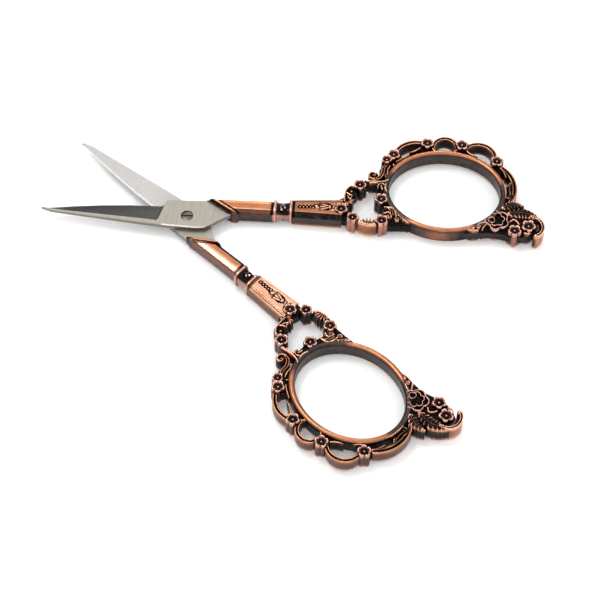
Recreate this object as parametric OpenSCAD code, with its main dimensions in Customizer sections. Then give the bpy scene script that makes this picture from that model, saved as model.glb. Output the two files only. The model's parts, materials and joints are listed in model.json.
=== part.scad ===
// Ornate embroidery scissors: two like halves that turn on one slotted screw.
//
// Every outline below is drawn for one half with the scissors closed: the pivot axis is the
// origin, the blade points to -X, and the handle lies towards +X on the +Y side of the X axis.
// The upper half is that outline turned by half the opening angle. The lower half is the same
// half turned over about the X axis, as the two castings and the two blades share their tools.

/* [Opening] */
// Angle between the two blades as the scissors lie, in degrees
rest_opening = 35.4; // [20:0.1:60]

/* [Blades] */
// Distance from the pivot axis to the tip of a blade
blade_reach = 37.6; // [34:0.2:42]
// Thickness of a blade at the pivot
blade_t = 1.3; // [1.2:0.05:1.5]
// Thickness of a blade at its tip
tip_t = 0.8; // [0.6:0.05:1]
// Clearance between the two flat inner faces
blade_gap = 0.04; // [0.02:0.01:0.08]
// Drop of the ground bevel from the flat to the cutting edge, at its wide end
bevel_drop = 1; // [0.6:0.1:1.1]
// Width of the tang inside the handle
tang_w = 1.8; // [1.4:0.1:2]
// Distance from the pivot axis to the end of the tang
tang_end = 18; // [14:0.5:20]

/* [Pivot screw] */
// Radius of the screw's journal and thread
screw_r = 1; // [0.8:0.05:1.1]
// Radius of the slotted head
head_r = 1.42; // [1.3:0.02:1.5]
// Height of the head
head_t = 0.65; // [0.5:0.05:0.75]
// Radial clearance of the journal in the upper blade
journal_play = 0.05; // [0.02:0.01:0.08]
// Radial clearance round the head in its counterbore
head_play = 0.13; // [0.1:0.01:0.2]
// Width of the driver slot
slot_w = 0.45; // [0.3:0.05:0.6]
// Depth of the driver slot
slot_d = 0.35; // [0.2:0.05:0.45]
// Where the slot points when the screw is tight, counted from the X axis
slot_turn = 22.9; // [0:0.1:180]

/* [Casting] */
// Thickness of a casting over its blossoms
cast_t = 5.3; // [5.2:0.1:6]
// How far the scrollwork stands back from the blossoms on each face
scroll_step = 0.35; // [0.2:0.05:0.6]
// How far the shank and the bar stand back on each face
shank_step = 0.4; // [0.2:0.05:0.5]
// Width of the bevels along the shank and the bar
shank_bevel = 0.6; // [0.3:0.1:0.8]
// How far the leaves and the web behind the tail stand back on each face
web_step = 0.8; // [0.6:0.1:1.2]

/* [Finger bow] */
// Centre of the bow, along the closed scissors' axis
bow_x = 64.35; // [64:0.05:64.7]
// Centre of the bow, away from the closed scissors' axis
bow_y = 13.2; // [13.2:0.05:13.5]
// Half length of the bow, at the middle of its band
bow_a = 14.95; // [14.7:0.05:14.95]
// Half width of the bow, at the middle of its band
bow_b = 12.25; // [12:0.05:12.25]
// Width of the band
band_w = 1.7; // [1.4:0.1:1.8]
// Height of the band
band_t = 4.6; // [4:0.1:5]

/* [Blossoms] */
// Outer radius of a full-size blossom
blossom_r = 1.75; // [1.6:0.05:1.8]
// Petals of a blossom
petals = 5; // [5:1:6]

/* [Hidden] */
$fn = 48;
over = 1;          // how far a cutting shape runs past what it cuts
seam = 0.02;       // gap left between the bow's true curve and what is fitted round it

steel = [0.72, 0.70, 0.66];
copper = [0.66, 0.41, 0.29];
dark_copper = [0.30, 0.19, 0.14];

// Heights of the upper blade and of the screw
mid_z = cast_t / 2;
blade_z = mid_z + blade_gap / 2;
blade_top = blade_z + blade_t;
head_top = blade_top - 0.1;
head_seat = head_top - head_t - 0.02;

// Cutting edge, ricasso and spine of a blade
edge_belly = [-22, 2.2];
edge_heel = [-7.2, 3.1];
ricasso_top = [[-5.3, 4.4], [4.5, 4.85]];
rim_start = [4.8, 4.8];
rim_end = [10.4, 1.3];
spine_corner = [[10.2, 0.9], [4.7, -3.3], [2.6, -3.6], [-5, -3.4]];
bevel_heel = [-7.5, -2.2];
tang_y = 3.6;
tang_outline = [
  [rim_start[0] + 2, tang_y + tang_w / 2], [tang_end, tang_y + tang_w / 2],
  [tang_end, tang_y - tang_w / 2], [rim_end[0] + 1, tang_y - tang_w / 2]
];

// The double rim of the bolster runs square to this direction
rim_dir = (rim_end - rim_start) / norm(rim_end - rim_start);
rim_normal = [-rim_dir[1], rim_dir[0]];
rim_depth = 1.9;
rim_w = 0.75;

// Stations of the shank, the collar and the bar
shank_x = [21.2, 26.6, 38];
shank_inner = [2.1, 2.3, 2.85, 2.6];
shank_outer = [5.25, 5.75, 6.65, 7.8];
collar_ring_w = 1.15;
bead_at = [23.9, 4.25];
bead_r = 1.35;

// Blossoms: centre, and size as a share of blossom_r
wreath_blossoms = [
  [[38.6, 5.0], 1], [[41.65, 2.55], 0.92], [[42.8, 12.95], 1], [[48.45, 8.95], 1],
  [[49.0, 2.25], 1]
];
border_blossoms = [
  [[49.05, 21.65], 0.8], [[50.75, 23.45], 0.98], [[59.2, 27.9], 1], [[68.1, 28.1], 1],
  [[77.3, 23.6], 1]
];
tail_blossoms = [[[82.4, 2.05], 1.03], [[86.1, 3.9], 1.12]];
rose_at = [77.8, 4.85];
rose_r = 2.9;

// Lace arcs: centre, outer radius, band width, first angle, swept angle
lace_arcs = [
  [[56.8, 22.3], 6.7, 1.4, 62, 92],
  [[63.85, 27.2], 3.6, 1.25, 4, 172],
  [[72.5, 24.7], 4.95, 1.35, 8, 118],
  [[73.5, 15.2], 9.3, 1.4, -26, 80]
];
hook = [[86.3, 3.6], 3.6, 0.85, -62, 150];

// The bow is a round ring drawn in across its width
bow_squash = [1, bow_b / bow_a, 1];

// The band's rounded cross-section, with its middle at the origin
function band_section() =
  let (r = band_w / 2, rise = band_t / 2 - band_w / 2, steps = 6)
  concat(
    [for (i = [0 : steps]) [r * cos(180 * i / steps), rise + r * sin(180 * i / steps)]],
    [for (i = [0 : steps]) [-r * cos(180 * i / steps), -rise - r * sin(180 * i / steps)]]
  );

// --- placing -------------------------------------------------------------------------------

module upper_half() {
  rotate([0, 0, rest_opening / 2]) children();
}

module lower_half() {
  rotate([0, 0, -rest_opening / 2]) translate([0, 0, cast_t]) rotate([180, 0, 0]) children();
}

// A plan shape as thick as the casting, less a step on each face
module slab(step) {
  translate([0, 0, step]) linear_extrude(cast_t - 2 * step) children();
}

// The pocket inside a casting that the tang fills
module tang_pocket() {
  translate([0, 0, blade_z]) linear_extrude(blade_t)
    polygon(concat([rim_start], tang_outline, [rim_end]));
}

// --- plan shapes ---------------------------------------------------------------------------

// A round-petalled blossom, one petal towards the closed scissors' axis
module blossom_plan(at, r) {
  petal_r = 0.43 * r;
  translate(at) {
    circle(0.66 * r);
    for (i = [0 : petals - 1])
      rotate(-90 + 360 * i / petals) translate([r - petal_r, 0]) circle(petal_r);
  }
}

module blossoms_plan(list) {
  for (b = list) blossom_plan(b[0], b[1] * blossom_r);
}

module rose_plan() {
  lobe_r = 0.42 * rose_r;
  lobes = 7;
  translate(rose_at) {
    circle(0.8 * rose_r);
    for (i = [0 : lobes - 1])
      rotate(360 * i / lobes) translate([rose_r - lobe_r, 0]) circle(lobe_r);
  }
}

// The ground inside the bow's outer edge
module bow_plan() {
  translate([bow_x, bow_y]) scale(bow_squash) circle(bow_a + band_w / 2 + seam);
}

// A plan shape, fitted to the outside of the bow
module clear_of_bow() {
  difference() {
    union() children();
    bow_plan();
  }
}

// A flat band along an arc: [centre, outer radius, width, first angle, swept angle]
module arc_plan(a) {
  reach = a[1] * 2;
  steps = 4;
  translate(a[0]) intersection() {
    difference() {
      circle(a[1]);
      circle(a[1] - a[2]);
    }
    polygon(concat([[0, 0]], [for (i = [0 : steps])
      let (phi = a[3] + a[4] * i / steps) reach * [cos(phi), sin(phi)]]));
  }
}

// A pointed leaf of the given length and width, growing from its base towards an angle
module leaf_plan(base, length, width, angle) {
  r = (length * length + width * width) / (4 * width);
  translate(base) rotate(angle) translate([length / 2, 0]) intersection() {
    translate([0, width / 2 - r]) circle(r);
    translate([0, r - width / 2]) circle(r);
  }
}

// --- steel ---------------------------------------------------------------------------------

module blade_plan() {
  tip = [-blade_reach, 0.1];
  polygon(concat([tip, edge_belly, edge_heel, [-6.7, 3.3]], ricasso_top, [rim_start], tang_outline,
                 [rim_end], spine_corner, [[-20, -2.1], [-blade_reach + 3, -0.75]]));
}

// One blade as the upper half has it, its flat inner face down
module blade_blank() {
  bevel_run = [bevel_heel[0] + blade_reach, bevel_heel[1]];
  taper_x = 8;
  taper = atan2(blade_t - tip_t, blade_reach - taper_x);
  difference() {
    translate([0, 0, blade_z]) linear_extrude(blade_t) blade_plan();
    // distal taper of the outer face
    translate([-taper_x, 0, blade_top]) rotate([0, 180 - taper, 0])
      translate([0, -blade_reach / 2, -2 * blade_t]) cube([2 * blade_reach, blade_reach, 2 * blade_t]);
    // ground bevel, from a line on the outer face down to the cutting edge
    translate([-blade_reach, 0, blade_top - (blade_t - tip_t)])
      rotate([0, 0, atan2(bevel_run[1], bevel_run[0])])
      rotate([0, -atan2(blade_t - tip_t, norm(bevel_run)), 0])
      rotate([-atan2(bevel_drop, edge_heel[1] - bevel_heel[1]), 0, 0])
      translate([-over, 0, 0]) cube([norm(bevel_run) + over, 4 * blade_t + over, 2 * blade_t]);
  }
}

module blade_with_bore() {
  color(steel) difference() {
    blade_blank();
    translate([0, 0, blade_z - over]) cylinder(h = blade_t + 2 * over, r = screw_r + journal_play);
    translate([0, 0, head_seat]) cylinder(h = blade_t, r = head_r + head_play);
  }
}

module blade_with_thread() {
  color(steel) difference() {
    blade_blank();
    translate([0, 0, blade_z - over]) cylinder(h = blade_t + 2 * over, r = screw_r);
  }
}

module pivot_screw() {
  foot_z = mid_z - blade_gap / 2 - blade_t;
  color(steel) difference() {
    union() {
      translate([0, 0, foot_z]) cylinder(h = head_top - foot_z, r = screw_r);
      translate([0, 0, head_top - head_t]) cylinder(h = head_t, r = head_r);
    }
    rotate([0, 0, slot_turn])
      translate([-2 * head_r, -slot_w / 2, head_top - slot_d]) cube([4 * head_r, slot_w, slot_d + over]);
  }
}

// --- casting: front ------------------------------------------------------------------------

module rim_strip(from, width) {
  a = rim_start + from * rim_normal - 0.25 * rim_dir;
  b = rim_end + from * rim_normal + 0.9 * rim_dir;
  polygon([a, b, b + width * rim_normal, a + width * rim_normal]);
}

module rim_field() {
  intersection() {
    polygon([[4, 5.4], [13, 5.6], [13, 1.15], [4, 1.15]]);
    rim_strip(0, rim_depth);
  }
}

module bolster() {
  color(copper) difference() {
    union() {
      slab(shank_step + 0.15) rim_field();
      slab(shank_step - 0.1) intersection() {
        rim_field();
        union() {
          rim_strip(0, rim_w);
          rim_strip(rim_depth - rim_w, rim_w);
        }
      }
    }
    tang_pocket();
  }
}

// A bar between two stations, with both long edges bevelled on both faces
module bevelled_bar(plan_outer, plan_inner) {
  hull() {
    slab(shank_step + shank_bevel) polygon(plan_outer);
    slab(shank_step) polygon(plan_inner);
  }
}

function rim_back(y) =
  let (p = rim_start + rim_depth * rim_normal) p[0] + (y - p[1]) * rim_dir[0] / rim_dir[1];

module shank() {
  yi = [shank_inner[0], shank_inner[1]];
  yo = [shank_outer[0], shank_outer[1]];
  s = shank_bevel;
  color(copper) difference() {
    bevelled_bar(
      [[rim_back(yo[0]), yo[0]], [shank_x[0], yo[1]], [shank_x[0], yi[1]], [rim_back(yi[0]), yi[0]]],
      [[rim_back(yo[0] - s), yo[0] - s], [shank_x[0], yo[1] - s], [shank_x[0], yi[1] + s],
       [rim_back(yi[0] + s), yi[0] + s]]
    );
    tang_pocket();
  }
}

// An eight-sided block across the shank, from x0 to x1, y0 to y1, with its edges cut by c
module collar_block(x0, x1, y0, y1, step, c) {
  z0 = step;
  z1 = cast_t - step;
  translate([x0, 0, 0]) rotate([90, 0, 90]) linear_extrude(x1 - x0) polygon([
    [y0 + c, z0], [y1 - c, z0], [y1, z0 + c], [y1, z1 - c],
    [y1 - c, z1], [y0 + c, z1], [y0, z1 - c], [y0, z0 + c]
  ]);
}

module collar() {
  x0 = shank_x[0];
  x1 = shank_x[1];
  color(dark_copper) {
    collar_block(x0, x0 + collar_ring_w, 1.9, 6.25, 0.02, 0.5);
    collar_block(x1 - collar_ring_w, x1, 2.3, 6.95, 0.02, 0.5);
    difference() {
      union() {
        collar_block(x0 + collar_ring_w, x1 - collar_ring_w, 2.7, 6.05, scroll_step + 0.3, 0.5);
        for (side = [-1, 1])
          translate([bead_at[0], bead_at[1], mid_z + side * (mid_z - bead_r - 0.1)]) sphere(bead_r);
      }
      translate([x0 - over, 0, -over]) cube([over, 3 * mid_z, cast_t + 2 * over]);
    }
  }
}

module vine_bar() {
  yi = [shank_inner[2], shank_inner[3]];
  yo = [shank_outer[2], shank_outer[3]];
  s = shank_bevel;
  color(copper) difference() {
    bevelled_bar(
      [[shank_x[1], yi[0]], [shank_x[2], yi[1]], [shank_x[2], yo[1]], [shank_x[1], yo[0]]],
      [[shank_x[1], yi[0] + s], [shank_x[2], yi[1] + s], [shank_x[2], yo[1] - s],
       [shank_x[1], yo[0] - s]]
    );
    slab(-over) blossoms_plan(wreath_blossoms);
  }
}

// --- casting: wreath and bow ---------------------------------------------------------------

module wreath_plan() {
  // stem and leaves from the bar up to the open scroll
  polygon([[38, 2.7], [40.4, 2.2], [41.2, 4.6], [40.6, 6.4], [41.6, 8.4], [41.4, 9.6], [39.4, 9.6],
           [38, 7.6]]);
  translate([38.8, 8.1]) circle(0.75);
  translate([40.7, 10.9]) circle(1.75);
  // rail from the top blossom to the bow
  polygon([[43.6, 13.4], [45.6, 13.9], [50, 13.9], [50, 14.9], [45.4, 14.8], [43.6, 14.4]]);
  // scrolls against the bow, from the rail down to the foot
  translate([48.2, 12.6]) circle(1.1);
  polygon([[47.5, 12.4], [47.7, 10.4], [50, 10.4], [50, 13.9], [47.8, 13.9]]);
  polygon([[48.4, 8.2], [50.4, 8.4], [53.8, 5], [57, 1.6], [53.6, 1.5], [50.2, 1.4], [49.9, 4.8]]);
  translate([50.45, 3.5]) circle(0.8);
}

module wreath_foot_plan() {
  polygon([[43.1, 1.2], [44.3, 0.45], [47.9, 0.35], [48.2, 1.6], [47.1, 2.3], [46.1, 2.05],
           [45.1, 2.4], [44.1, 2.15], [43.2, 2.3]]);
}

module wreath() {
  color(copper) {
    slab(scroll_step) difference() {
      clear_of_bow() wreath_plan();
      blossoms_plan(wreath_blossoms);
      wreath_foot_plan();
    }
    slab(0) difference() {
      wreath_foot_plan();
      blossoms_plan(wreath_blossoms);
    }
  }
}

module wreath_blossoms() {
  color(dark_copper) slab(0) clear_of_bow() blossoms_plan(wreath_blossoms);
}

module finger_bow() {
  color(copper) difference() {
    translate([bow_x, bow_y, mid_z]) scale(bow_squash)
      rotate_extrude() translate([bow_a, 0]) polygon(band_section());
    slab(-over) rose_plan();
  }
}

// --- casting: lace border and tail ---------------------------------------------------------

module lace_plan() {
  for (a = lace_arcs) arc_plan(a);
  // feet that carry the blossoms on the bow
  polygon([[48.3, 20.6], [47.6, 18.6], [49, 17.6], [52, 19], [53.6, 22], [52.2, 23.6]]);
  polygon([[58.4, 26.8], [58.8, 24.8], [60.6, 25], [60.4, 27]]);
  polygon([[67, 27], [67, 25.2], [69.2, 25.2], [69.2, 27]]);
  polygon([[75.6, 22.8], [75.9, 21], [78, 20], [79, 22.4]]);
  // open scroll that ends the border above the wreath
  arc_plan([[45.85, 16.75], 1.5, 0.95, 80, 250]);
  polygon([[46.2, 15.2], [47.4, 15.9], [48.8, 18.6], [49.4, 20.4], [48.2, 20.6], [47.6, 18.9],
           [46.5, 17.2], [45.8, 16.1]]);
  // leaf scroll at the tail end
  leaf_plan([79, 9.6], 6.2, 1.8, 66);
}

module lace_border() {
  color(copper) slab(scroll_step + 0.1) difference() {
    clear_of_bow() lace_plan();
    blossoms_plan(border_blossoms);
    wreath_plan();
    spray_plan();
  }
}

module border_blossoms() {
  color(dark_copper) slab(0) blossoms_plan(border_blossoms);
}

module rose() {
  color(dark_copper) slab(0) rose_plan();
}

module spray_plan() {
  leaf_plan([79.6, 8.8], 5, 2.3, 18);
  leaf_plan([81.9, 7.4], 6.6, 3, -9);
  polygon([[79, 9.4], [79, 5], [79.6, 1.2], [84.2, 1], [87.4, 1.7], [89, 2.6], [88.6, 4.8],
           [86.4, 7.4], [82, 9]]);
}

module leaf_spray() {
  color(copper) slab(web_step) difference() {
    clear_of_bow() spray_plan();
    rose_plan();
    blossoms_plan(tail_blossoms);
    hook_plan();
  }
}

module tail_blossoms() {
  color(dark_copper) slab(0) blossoms_plan(tail_blossoms);
}

module hook_plan() {
  difference() {
    union() {
      arc_plan(hook);
      translate([87.75, 0.92]) circle(0.7);
    }
    blossoms_plan(tail_blossoms);
  }
}

module tail_scroll() {
  color(copper) slab(0) hook_plan();
}

// --- assembly ------------------------------------------------------------------------------

pivot_screw();

upper_half() blade_with_bore();  // blade_upper
upper_half() bolster();  // bolster_upper
upper_half() shank();  // shank_upper
upper_half() collar();  // collar_upper
upper_half() vine_bar();  // vine_bar_upper
upper_half() wreath();  // wreath_upper
upper_half() wreath_blossoms();  // wreath_blossoms_upper
upper_half() finger_bow();  // finger_bow_upper
upper_half() lace_border();  // lace_border_upper
upper_half() border_blossoms();  // border_blossoms_upper
upper_half() rose();  // rose_upper
upper_half() leaf_spray();  // leaf_spray_upper
upper_half() tail_blossoms();  // tail_blossoms_upper
upper_half() tail_scroll();  // tail_scroll_upper

lower_half() blade_with_thread();  // blade_lower
lower_half() bolster();  // bolster_lower
lower_half() shank();  // shank_lower
lower_half() collar();  // collar_lower
lower_half() vine_bar();  // vine_bar_lower
lower_half() wreath();  // wreath_lower
lower_half() wreath_blossoms();  // wreath_blossoms_lower
lower_half() finger_bow();  // finger_bow_lower
lower_half() lace_border();  // lace_border_lower
lower_half() border_blossoms();  // border_blossoms_lower
lower_half() rose();  // rose_lower
lower_half() leaf_spray();  // leaf_spray_lower
lower_half() tail_blossoms();  // tail_blossoms_lower
lower_half() tail_scroll();  // tail_scroll_lower
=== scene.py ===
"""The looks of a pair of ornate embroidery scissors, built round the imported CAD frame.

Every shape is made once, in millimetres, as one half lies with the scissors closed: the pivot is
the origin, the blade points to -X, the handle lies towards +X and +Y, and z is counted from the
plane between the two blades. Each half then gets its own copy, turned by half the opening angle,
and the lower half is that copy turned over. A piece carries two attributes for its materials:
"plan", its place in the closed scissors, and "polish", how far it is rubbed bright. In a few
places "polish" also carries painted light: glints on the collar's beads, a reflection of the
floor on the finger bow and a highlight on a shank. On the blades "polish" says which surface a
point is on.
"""

import json
import math

import bmesh
import bpy
import numpy as np
from mathutils import Matrix, Vector


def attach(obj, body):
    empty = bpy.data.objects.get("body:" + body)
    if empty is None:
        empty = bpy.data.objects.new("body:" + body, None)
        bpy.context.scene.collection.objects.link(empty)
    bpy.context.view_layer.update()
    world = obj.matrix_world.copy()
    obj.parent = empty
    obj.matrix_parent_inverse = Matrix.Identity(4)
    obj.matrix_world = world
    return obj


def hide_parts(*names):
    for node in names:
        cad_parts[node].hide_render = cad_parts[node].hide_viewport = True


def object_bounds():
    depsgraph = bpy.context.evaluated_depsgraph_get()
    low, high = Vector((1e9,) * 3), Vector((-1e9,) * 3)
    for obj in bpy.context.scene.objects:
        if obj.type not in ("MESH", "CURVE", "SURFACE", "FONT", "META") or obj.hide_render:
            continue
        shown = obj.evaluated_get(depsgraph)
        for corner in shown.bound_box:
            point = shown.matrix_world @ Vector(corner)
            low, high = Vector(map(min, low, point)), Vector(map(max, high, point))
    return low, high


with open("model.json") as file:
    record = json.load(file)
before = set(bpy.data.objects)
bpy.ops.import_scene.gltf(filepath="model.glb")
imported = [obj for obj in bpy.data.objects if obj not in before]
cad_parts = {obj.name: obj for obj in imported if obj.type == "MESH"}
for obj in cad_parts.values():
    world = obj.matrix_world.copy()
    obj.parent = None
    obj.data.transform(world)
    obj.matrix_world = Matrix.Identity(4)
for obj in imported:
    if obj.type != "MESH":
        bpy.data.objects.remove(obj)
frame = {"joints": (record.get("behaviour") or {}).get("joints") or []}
cad_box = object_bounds()

# --- sizes, in millimetres ---

MM = 0.001
TOP = (cad_box[1][2] - cad_box[0][2]) / MM / 2  # half the thickness of a casting
MID_Z = (cad_box[1][2] + cad_box[0][2]) / 2  # height of the plane between the blades
HALF_OPENING = math.radians(-frame["joints"][0]["range_deg"][0] / 2)

HALVES = {
    "upper": Matrix.Rotation(HALF_OPENING, 4, "Z"),
    "lower": Matrix.Rotation(-HALF_OPENING, 4, "Z") @ Matrix.Rotation(math.pi, 4, "X"),
}

EMPTY = -9.0  # height where a relief has no metal
FAR = 9.0  # distance given to what is out of reach

# The finger bow: centre, half length and half width of the band's middle line, and the
# band's width and half its thickness
BOW_AT = (64.35, 13.2)
BOW_A, BOW_B = 14.95, 12.25
BAND_W = 1.65
BOW_TOP = 2.3

# Blossoms: centre, radius, angle of one petal, how bright the side of its column is
WREATH_BLOSSOMS = [
    ((38.6, 5.0), 1.75, -90, 0.25), ((41.65, 2.55), 1.62, -75, 0.72),
    ((42.8, 12.95), 1.75, -80, 0.35), ((48.45, 8.95), 1.75, -90, 0.1),
    ((49.0, 2.25), 1.75, -100, 0.72),
]
BORDER_BLOSSOMS = [
    ((49.05, 21.65), 1.4, -80, 0.3), ((50.75, 23.45), 1.72, -95, 0.3),
    ((59.2, 27.9), 1.75, -90, 0.45), ((68.1, 28.1), 1.75, 95, 0.45),
    ((77.3, 23.6), 1.75, 85, 0.45),
]
TAIL_BLOSSOMS = [((82.4, 2.05), 1.8, -90, 0.65), ((85.85, 3.75), 1.9, -80, 0.3)]

# The casting: the ends of its slanted front line and the width of its rim, the stations of
# the collar, and where the bar behind the collar ends
RIM_START, RIM_END = np.array([4.8, 4.8]), np.array([10.4, 1.3])
RIM_LEAN = (RIM_END - RIM_START)[0] / (RIM_END - RIM_START)[1]
RIM_DEPTH = 1.55
COLLAR_X = (21.3, 26.55)
BAR_END = 38.9
RING_POINTS = 64  # points of a cross-section of the collar

# The blades, each a gap off the middle plane, and the screw, which sits in a counterbore
BLADE_T = 1.3
GAP = 0.02
TIP_X = -37.2
HEAD_R, COUNTERBORE_R = 1.45, 1.56
SEAT_Z = 0.6  # height of the counterbore's floor
SLOT_TURN = math.radians(22.9)


# --- small mathematics ---

def smoothstep(low, high, v):
    """0 below low and 1 above high, with a smooth rise between."""
    t = np.clip((v - low) / (high - low), 0.0, 1.0)
    return t * t * (3 - 2 * t)


def hump(v, at, width):
    """A smooth rise to 1 at a place, and back to 0 about two widths off."""
    return np.exp(-((v - at) / width) ** 2)


def arc(centre, r, first, last, count=24):
    """Points along a round arc, its angles in degrees."""
    a = np.radians(np.linspace(first, last, count))
    return np.stack([centre[0] + r * np.cos(a), centre[1] + r * np.sin(a)], 1)


def spiral(centre, r, first, turns):
    """Points along a curl that winds in from radius r to three tenths of it."""
    t = np.linspace(0, 1, 40)
    a = math.radians(first) + 2 * math.pi * turns * t
    rr = r * (1 - 0.7 * t)
    return np.stack([centre[0] + rr * np.cos(a), centre[1] + rr * np.sin(a)], 1)


def curve(points):
    """A smooth line through given points."""
    p = np.array(points, float)
    p = np.vstack([2 * p[0] - p[1], p, 2 * p[-1] - p[-2]])
    spans = len(p) - 3
    out = []
    for u in np.linspace(0, spans, 30):
        i = min(int(u), spans - 1)
        t = u - i
        a, b, c, d = p[i:i + 4]
        out.append(0.5 * (2 * b + (c - a) * t + (2 * a - 5 * b + 4 * c - d) * t * t
                          + (3 * b - a - 3 * c + d) * t ** 3))
    return np.array(out)


def bow_line(first, last, out):
    """Points along an oval that lies outside the finger bow's."""
    a = np.radians(np.linspace(first, last, 60))
    return np.stack([BOW_AT[0] + (BOW_A + out) * np.cos(a),
                     BOW_AT[1] + (BOW_B + out) * np.sin(a)], 1)


def nearest(line, x, y):
    """Distance from points to a line, and how far along it, from 0 to 1, they come nearest."""
    line = np.asarray(line, float)
    lengths = np.hypot(*np.diff(line, axis=0).T)
    runs = np.concatenate([[0], np.cumsum(lengths)])
    best, along = np.full(x.shape, FAR * 9), np.zeros(x.shape)
    for (px, py), (qx, qy), run, length in zip(line[:-1], line[1:], runs, lengths):
        ux, uy = (qx - px) / length, (qy - py) / length
        dx, dy = x - px, y - py
        t = np.clip(dx * ux + dy * uy, 0, length)
        d = np.hypot(dx - t * ux, dy - t * uy)
        near = d < best
        best = np.where(near, d, best)
        along = np.where(near, (run + t) / runs[-1], along)
    return best, along


def blurred(field, radius):
    """A field smoothed over a few cells, for finding what stands proud of its surroundings."""
    k = np.exp(-0.5 * (np.arange(-3 * radius, 3 * radius + 1) / radius) ** 2)
    k /= k.sum()
    pad = len(k) // 2
    for axis in (0, 1):
        wide = np.pad(field, [(pad, pad) if i == axis else (0, 0) for i in (0, 1)], "edge")
        field = sum(w * np.take(wide, np.arange(i, i + field.shape[axis]), axis)
                    for i, w in enumerate(k))
    return field


# --- meshes ---

def mesh_from(verts, faces, polish_and_sheen):
    """A smooth mesh from millimetres, with how far each point is polished."""
    me = bpy.data.meshes.new("part")
    me.from_pydata((np.asarray(verts) * MM).tolist(), [], [tuple(f) for f in faces])
    me.polygons.foreach_set("use_smooth", [True] * len(me.polygons))
    layer = me.attributes.new("polish_and_sheen", "FLOAT", "POINT")
    layer.data.foreach_set("value", np.asarray(polish_and_sheen, np.float32))
    me.validate()
    return me


def slab_mesh(X, Y, top, low, polish_and_sheen, side, low_polish_and_sheen=None, cells=None, levels=4, glow=0.15):
    """A closed solid between two height fields, over some or all cells of a plan grid.

    Its walls have a number of levels, and glow is how much brighter they are at the faces.
    """
    if cells is None:
        cells = np.ones((X.shape[0] - 1, X.shape[1] - 1), bool)
    used = np.zeros(X.shape, bool)
    for di in (0, 1):
        for dj in (0, 1):
            used[di:X.shape[0] - 1 + di, dj:X.shape[1] - 1 + dj] |= cells
    index = np.full(X.shape, -1)
    index[used] = np.arange(used.sum())
    n = int(used.sum())
    face = np.stack([X[used], Y[used], top[used]], 1)
    back = np.stack([X[used], Y[used], low[used]], 1)
    if low_polish_and_sheen is None:
        low_polish_and_sheen = polish_and_sheen
    verts, values = [face, back], [polish_and_sheen[used], low_polish_and_sheen[used]]
    a, b, c, d = index[:-1, :-1], index[1:, :-1], index[1:, 1:], index[:-1, 1:]
    quads = np.stack([a[cells], b[cells], c[cells], d[cells]], 1)
    faces = [quads, quads[:, ::-1] + n]
    # walls, on each side of a cell that has no neighbour
    gap = np.pad(cells, 1)
    rims = np.vstack([np.stack([first[here], second[here]], 1) for first, second, here in (
        (a, b, cells & ~gap[1:-1, :-2]), (b, c, cells & ~gap[2:, 1:-1]),
        (c, d, cells & ~gap[1:-1, 2:]), (d, a, cells & ~gap[:-2, 1:-1]))])
    rim_points = np.unique(rims)
    slot_of = np.full(n, -1)
    slot_of[rim_points] = np.arange(len(rim_points))
    rings = [rim_points]
    count = 2 * n
    side_here = side[used][rim_points]
    for k in range(1, levels):
        t = k / levels
        verts.append(face[rim_points] * (1 - t) + back[rim_points] * t)
        values.append(np.clip(side_here + glow * np.abs(2 * t - 1) ** 3, 0, 1))
        rings.append(np.arange(len(rim_points)) + count)
        count += len(rim_points)
    rings.append(rim_points + n)
    p, q = slot_of[rims[:, 0]], slot_of[rims[:, 1]]
    for upper, lower in zip(rings[:-1], rings[1:]):
        faces.append(np.stack([upper[q], upper[p], lower[p], lower[q]], 1))
    return mesh_from(np.vstack(verts), np.vstack(faces), np.concatenate(values))


def loft_mesh(sections, polish_and_sheen, closed=False):
    """Skins rings of points, each (count, 3), and caps the ends unless the loft is closed."""
    count = len(sections[0])
    total = len(sections)
    j = np.arange(count)
    k = (j + 1) % count
    faces = []
    for i in range(total if closed else total - 1):
        n = (i + 1) % total
        faces += np.stack([i * count + j, n * count + j, n * count + k, i * count + k], 1).tolist()
    if not closed:
        faces += [list(range(count)), list(range((total - 1) * count, total * count))[::-1]]
    me = mesh_from(np.vstack(sections), faces, np.concatenate(polish_and_sheen))
    merge_doubles(me)
    return me


def merge_doubles(me):
    """Joins points that lie on each other, and turns all faces outward."""
    bm = bmesh.new()
    bm.from_mesh(me)
    bmesh.ops.remove_doubles(bm, verts=bm.verts, dist=1e-7)
    bmesh.ops.recalc_face_normals(bm, faces=bm.faces)
    bm.to_mesh(me)
    bm.free()


def mesh_of(bm):
    """A new mesh from a bmesh, which is freed."""
    me = bpy.data.meshes.new("part")
    bm.to_mesh(me)
    bm.free()
    return me


def joined(parts):
    """One mesh from several."""
    bm = bmesh.new()
    for part in parts:
        bm.from_mesh(part)
    return mesh_of(bm)


def add_object(name, data):
    """A new object in the scene."""
    o = bpy.data.objects.new(name, data)
    bpy.context.scene.collection.objects.link(o)
    return o


def sharpened(me, degrees=35):
    """Smooth shading with hard lines where faces meet at more than an angle."""
    me.polygons.foreach_set("use_smooth", [True] * len(me.polygons))
    me.set_sharp_from_angle(angle=math.radians(degrees))
    return me


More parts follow.
